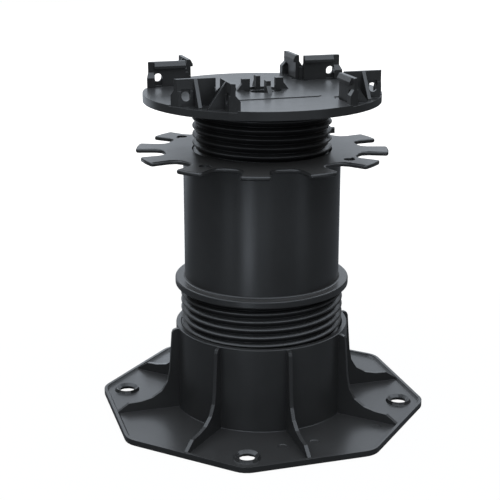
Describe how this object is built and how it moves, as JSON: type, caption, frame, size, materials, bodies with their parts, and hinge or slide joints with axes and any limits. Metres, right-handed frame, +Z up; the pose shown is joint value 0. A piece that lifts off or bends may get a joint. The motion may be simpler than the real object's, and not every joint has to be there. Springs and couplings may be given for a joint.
{
  "type": "adjustable decking pedestal",
  "caption": "Adjustable decking pedestal: ribbed octagonal base, threaded sleeve with a notched turning flange, and a round head with clips for a joist laid either way.",
  "frame": {"origin": "centre of the base's underside, on the floor", "axes": "+Z up along the screw axis; the head's two joist channels run along X and Y, and the octagon's flat sides face X, Y and the diagonals"},
  "size_m": [0.202, 0.202, 0.2259],
  "materials": {
    "polypropylene": "satin"
  },
  "bodies": {
    "base": {"base": "polypropylene"},
    "sleeve": {"sleeve": "polypropylene"},
    "head": {"head": "polypropylene"}
  },
  "joints": [
    {"name": "sleeve_lift", "type": "slide", "parent": "base", "child": "sleeve", "axis": [0, 0, 1], "range_m": [-0.0266, 0.012]},
    {"name": "head_lift", "type": "slide", "parent": "sleeve", "child": "head", "axis": [0, 0, 1], "range_m": [-0.0094, 0.022]}
  ]
}
